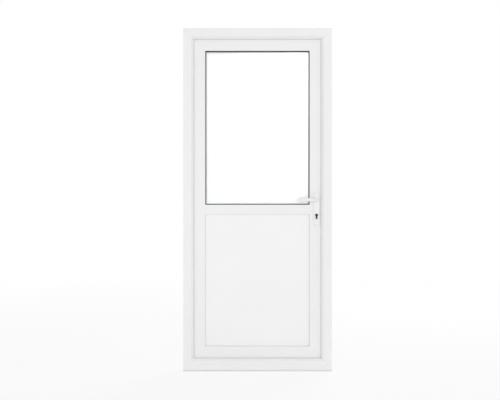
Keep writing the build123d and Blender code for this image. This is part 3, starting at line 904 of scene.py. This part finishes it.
class DOOR_OT_gaskets(bpy.types.Operator):
    """Makes the glazing gaskets with their lips, outside and inside, round the glass and the panel"""

    bl_idname = "door.gaskets"
    bl_label = "Gaskets"

    def execute(self, context):
        sizes = context.scene.door_sizes
        lip = sizes.gasket_lip
        openings = {
            "glass": (GLASS_RECT, sizes.glass_gasket, "glazing_rubber", "gasket"),
            "panel": (PANEL_RECT, sizes.panel_gasket, "panel_rubber", "panel_gasket"),
        }
        for name, (rect, shows, slot, material) in openings.items():
            sections = {
                "outer": glazing_section(LIP_BACK, shows, PANE_FRONT, lip),
                "inner": glazing_section(BEAD_FRONT, shows * INNER_SHARE, PANE_BACK, lip),
            }
            for face, section in sections.items():
                piece = joined_mesh(f"{name}_gasket_{face}", [mitred_ring(section, rect)], joined=True)
                add_piece(piece, "leaf", slot, MATERIALS[material], f"{name}_gaskets")
        return {"FINISHED"}


def bulb_section(centre, radius, arc, foot, steps=14):
    """Seal section: an arc of a circle between two angles in degrees, closed by the points of its foot."""
    angles = np.radians(np.linspace(*arc, steps))
    bulb = np.stack([centre[0] + radius * np.cos(angles), centre[1] + radius * np.sin(angles)], axis=-1)
    return np.vstack([bulb, foot])


class DOOR_OT_seals(bpy.types.Operator):
    """Makes the two door seals, each a soft bulb on a foot"""

    bl_idname = "door.seals"
    bl_label = "Seals"

    def execute(self, context):
        sizes = context.scene.door_sizes
        self.add_frame_seal(sizes)
        self.add_leaf_seal(sizes.seal_bulb)
        return {"FINISHED"}

    def add_frame_seal(self, sizes):
        """Seal behind the frame's upstand: flush with it above and below, a little past it at the jambs."""
        bulb = sizes.seal_bulb
        start, back = low("frame_seal")[0] - FRAME_RECT[0], low("frame_seal")[1]
        frame_width = high("frame_head")[2] - low("frame_head")[2]
        centre = (frame_width - bulb, high("frame_seal")[1] - bulb)
        foot = [(start + SEAL_FOOT_STEP, back + SEAL_FOOT_RISE), (start, back)]
        section = bulb_section(centre, bulb, FRAME_BULB_ARC, foot)
        left, right, bottom, top = FRAME_RECT
        shown = (left + sizes.hinge_bulge, right - sizes.lock_bulge, bottom, top)
        piece = joined_mesh("frame_seal_bulb", [mitred_ring(section, shown)], joined=True)
        add_piece(piece, "frame", "seal_rubber", MATERIALS["seal"], "frame_seal")

    def add_leaf_seal(self, bulb):
        """Seal on the back of the leaf's flange."""
        start, root = low("leaf_seal")[0] - FRAME_RECT[0], high("leaf_seal")[1]
        centre = (start + LEAF_SEAL_WIDTH / 2, low("leaf_seal")[1] + bulb)
        foot = [(start + LEAF_SEAL_WIDTH, root), (start, root)]
        section = bulb_section(centre, bulb, LEAF_BULB_ARC, foot)
        piece = joined_mesh("leaf_seal_bulb", [mitred_ring(section, FRAME_RECT)], joined=True)
        add_piece(piece, "leaf", "seal_rubber", MATERIALS["seal"], "leaf_seal")


def key_face(radius):
    """Height of a plug's face: a shallow dome, less a key slot whose two halves are set off sideways."""
    rise, fall = 0.7 * MM, 0.25
    depth, half_width, offset = 1.6 * MM, 0.75 * MM, 0.35 * MM
    reach, change = 4.4 * MM, -0.6 * MM

    def height(a, b):
        dome = rise * (1 - fall * (np.hypot(a, b) / radius) ** 2)
        side = np.where(b > change, -offset, offset)
        slot = (np.abs(a - side) < half_width) & (np.abs(b) < reach)
        return np.where(slot, -depth, dome)

    return height


class DOOR_OT_lock_plugs(bpy.types.Operator):
    """Makes the turning plug with its key slot at both ends of the lock cylinder"""

    bl_idname = "door.lock_plugs"
    bl_label = "Lock plugs"

    def execute(self, context):
        radius = context.scene.door_sizes.plug_radius
        lowest, highest = low("lock_cylinder"), high("lock_cylinder")
        x = (lowest[0] + highest[0]) / 2
        z = highest[2] - (highest[0] - lowest[0]) / 2
        for side, y, out in (("outside", lowest[1], OUTSIDE), ("inside", highest[1], INSIDE)):
            face = key_face(radius)
            grid = disc_grid((x, y, z), out, radius, PLUG_RIM, face, PLUG_RINGS, PLUG_SECTORS)
            piece = joined_mesh(f"lock_plug_{side}", [grid])
            add_piece(piece, "leaf", "lock_brass", MATERIALS["bronze"])
        return {"FINISHED"}


def cross_face(radius):
    """Height of a screw head: a low dome less a cross, deepest in the middle and narrower outwards."""
    rise, fall = 0.8 * MM, 0.8
    depth, reach = 1.4 * MM, 0.62 * radius
    arm_half, narrowing = 0.22 * radius, 0.45

    def height(a, b):
        away = np.hypot(a, b)
        dome = rise * np.sqrt(1 - fall * (away / radius) ** 2)
        arm = np.minimum(np.abs(a), np.abs(b)) < arm_half * (1 - narrowing * away / radius)
        recess = depth * np.sqrt(np.clip(1 - away / reach, 0, 1))
        return dome - np.where(arm, recess, 0)

    return height


def screw_places():
    """Each body's screw heads as a middle and the direction that it faces."""
    places = {"frame": [], "leaf": []}
    for name in HINGES:
        pin = middle(f"{name}_hinge_pin")
        halves = (
            ("frame", FRAME_HALF_SCREWS, low(f"{name}_hinge_frame_half")[1] + HINGE_PLATE),
            ("leaf", LEAF_HALF_SCREWS, LEAF_BACK + HINGE_PLATE),
        )
        for body, screws, face in halves:
            for across, along in screws:
                places[body].append(((pin[0] + across * MM, face, pin[2] + along * MM), INSIDE))
    top, bottom = high("inside_backplate")[2], low("inside_backplate")[2]
    for z in (top - PLATE_SCREW_INSET, bottom + PLATE_SCREW_INSET):
        places["leaf"].append(((SPINDLE[0], LEAF_BACK + PLATE_THICKNESS, z), INSIDE))
    for z in FACEPLATE_SCREWS:
        places["leaf"].append(((high("lock_faceplate")[0], LEAF_MIDDLE, z * MM), RIGHT))
    for z in KEEP_SCREWS:
        places["frame"].append(((low("lock_keep")[0], LEAF_MIDDLE, z * MM), LEFT))
    return places


class DOOR_OT_screws(bpy.types.Operator):
    """Makes the screw heads of the hinges, the inside handle plate, the lock faceplate and the keeps"""

    bl_idname = "door.screws"
    bl_label = "Screws"

    def execute(self, context):
        radius = context.scene.door_sizes.screw_radius
        face = cross_face(radius)
        for body, places in screw_places().items():
            grids = [disc_grid(centre, out, radius, SCREW_RIM, face) for centre, out in places]
            piece = joined_mesh(f"{body}_screws", grids)
            add_piece(piece, body, "steel", MATERIALS["steel"])
        return {"FINISHED"}


class DOOR_OT_hinge_caps(bpy.types.Operator):
    """Makes the domed caps on both ends of each hinge"""

    bl_idname = "door.hinge_caps"
    bl_label = "Hinge caps"

    def execute(self, context):
        arc = np.linspace(0, np.pi / 2, EDGE_STEPS)
        radii = np.concatenate([[0, KNUCKLE_RADIUS], KNUCKLE_RADIUS * np.cos(arc)])
        heights = np.concatenate([[0, 0], CAP_RISE * np.sin(arc)])
        for body, end, sign in (("leaf", high, 1), ("frame", low, -1)):
            grids = []
            for name in HINGES:
                pin = middle(f"{name}_hinge_pin")
                face = end(f"{name}_hinge_{body}_half")[2]
                grids.append(turned_grid((pin[0], pin[1], face), radii, sign * heights))
            piece = joined_mesh(f"{body}_hinge_caps", grids)
            add_piece(piece, body, "coated_metal", MATERIALS["coating"])
        return {"FINISHED"}


def seen_directly(graph):
    """1 for rays from the camera, from a reflection or through glass."""
    camera, glossy, through = [
        graph.node("ShaderNodeLightPath", output=name)
        for name in ("Is Camera Ray", "Is Glossy Ray", "Is Transmission Ray")
    ]
    return camera.most(glossy).most(through)


def white_where_seen(graph, studio):
    """Pale matt floor. The camera, a reflection or a pane sees it mixed with white, all white far away."""
    base = graph.blend(graph.noise(2.5), times(studio.floor, 0.99), studio.floor)
    matt = graph.node("ShaderNodeBsdfDiffuse", None, {"Color": base})
    white = graph.node("ShaderNodeEmission", None, {"Color": (1, 1, 1, 1), "Strength": 1.0})
    away = graph.node("ShaderNodeVectorMath", {"operation": "LENGTH"}, {0: graph.point()}, "Value")
    whiter = away.step(studio.white_from * WHITE_STARTS, studio.white_from)
    lifted = whiter * (1 - studio.floor_lift) + studio.floor_lift
    shown = graph.node("ShaderNodeMixShader", None, {0: lifted, 1: matt, 2: white})
    return graph.node("ShaderNodeMixShader", None, {0: seen_directly(graph), 1: matt, 2: shown})


class DOOR_OT_stage(bpy.types.Operator):
    """Makes the floor, the even light, the lamps and the camera"""

    bl_idname = "door.stage"
    bl_label = "Stage"

    def execute(self, context):
        scene, studio = context.scene, context.scene.door_studio
        self.add_floor(scene, studio)
        self.add_world(scene, studio)
        size = (studio.lamp_width, studio.lamp_height)
        self.add_lamp(scene, "key lamp", studio.key_power, size, KEY_PLACE)
        self.add_lamp(scene, "back lamp", studio.back_power, size, BACK_PLACE)
        self.add_front_light(scene, studio.front_light)
        self.add_camera(scene, studio)
        scene.view_settings.view_transform = "Standard"
        return {"FINISHED"}

    def add_floor(self, scene, studio):
        """Flat floor under the door."""
        half = FLOOR_HALF
        mesh = bpy.data.meshes.new("floor")
        corners = [(-half, -half, 0), (half, -half, 0), (half, half, 0), (-half, half, 0)]
        mesh.from_pydata(corners, [], [(0, 1, 2, 3)])
        floor = bpy.data.objects.new("floor", mesh)
        scene.collection.objects.link(floor)
        graph = Graph("pale floor")
        graph.show(white_where_seen(graph, studio))
        mesh.materials.append(graph.material)

    def add_world(self, scene, studio):
        """Even light from all round, seen as white."""
        graph = WorldGraph("even light")
        even = graph.node("ShaderNodeBackground", None, {"Color": (1, 1, 1, 1), "Strength": studio.fill})
        white = graph.node("ShaderNodeBackground", None, {"Color": (1, 1, 1, 1), "Strength": 1.0})
        shaders = {0: seen_directly(graph), 1: even, 2: white}
        graph.show(graph.node("ShaderNodeMixShader", None, shaders))
        scene.world = graph.world

    def add_lamp(self, scene, name, power, size, place):
        """Soft box that faces the middle of the door. Neither the camera nor a reflection shows it."""
        light = bpy.data.lights.new(name, "AREA")
        light.shape = "RECTANGLE"
        light.size, light.size_y = size
        light.energy = power
        lamp = bpy.data.objects.new(name, light)
        lamp.location = place
        lamp.rotation_euler = (LAMP_AIM - lamp.location).to_track_quat("-Z", "Y").to_euler()
        lamp.visible_camera = False
        lamp.visible_glossy = False
        scene.collection.objects.link(lamp)

    def add_front_light(self, scene, strength):
        """Soft parallel light from in front, a little to the right and above."""
        light = bpy.data.lights.new("front light", "SUN")
        light.energy = strength
        light.angle = FRONT_SOFTNESS
        lamp = bpy.data.objects.new("front light", light)
        lamp.rotation_euler = Vector(FRONT_TOWARD).to_track_quat("Z", "Y").to_euler()
        scene.collection.objects.link(lamp)

    def add_camera(self, scene, studio):
        """Camera straight in front, placed so that the picture's scale is the photograph's."""
        lens = bpy.data.cameras.new("camera")
        lens.lens = lens.sensor_width * studio.distance / studio.view_width
        camera = bpy.data.objects.new("camera", lens)
        camera.location = (studio.view_x, FRONT_OF_DOOR - studio.distance, studio.view_z)
        camera.rotation_euler = (math.pi / 2, 0, 0)
        scene.collection.objects.link(camera)
        scene.camera = camera


OPERATORS = (
    DOOR_OT_finishes,
    DOOR_OT_levers,
    DOOR_OT_handle_plates,
    DOOR_OT_gaskets,
    DOOR_OT_seals,
    DOOR_OT_lock_plugs,
    DOOR_OT_screws,
    DOOR_OT_hinge_caps,
    DOOR_OT_stage,
)


class DOOR_PT_panel(bpy.types.Panel):
    """Lists the door's pieces and their settings"""

    bl_label = "Half-glazed door"
    bl_idname = "DOOR_PT_panel"
    bl_space_type = "VIEW_3D"
    bl_region_type = "UI"
    bl_category = "Door"

    def draw(self, context):
        """One button for each operator, then every setting."""
        for operator in OPERATORS:
            self.layout.operator(operator.bl_idname)
        scene = context.scene
        for settings in (scene.door_sizes, scene.door_finishes, scene.door_studio):
            box = self.layout.box()
            for name in settings.__annotations__:
                box.prop(settings, name)


CLASSES = (DoorSizes, DoorFinishes, DoorStudio, *OPERATORS, DOOR_PT_panel)


def register():
    """Registers the classes and puts their settings on the scene."""
    for item in CLASSES:
        bpy.utils.register_class(item)
    bpy.types.Scene.door_sizes = PointerProperty(type=DoorSizes)
    bpy.types.Scene.door_finishes = PointerProperty(type=DoorFinishes)
    bpy.types.Scene.door_studio = PointerProperty(type=DoorStudio)


def unregister():
    """Takes the settings and the classes away."""
    del bpy.types.Scene.door_studio
    del bpy.types.Scene.door_finishes
    del bpy.types.Scene.door_sizes
    for item in reversed(CLASSES):
        bpy.utils.unregister_class(item)


def main():
    """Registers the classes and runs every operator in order."""
    register()
    for operator in OPERATORS:
        group, name = operator.bl_idname.split(".")
        getattr(getattr(bpy.ops, group), name)()


if __name__ == "__main__":
    main()
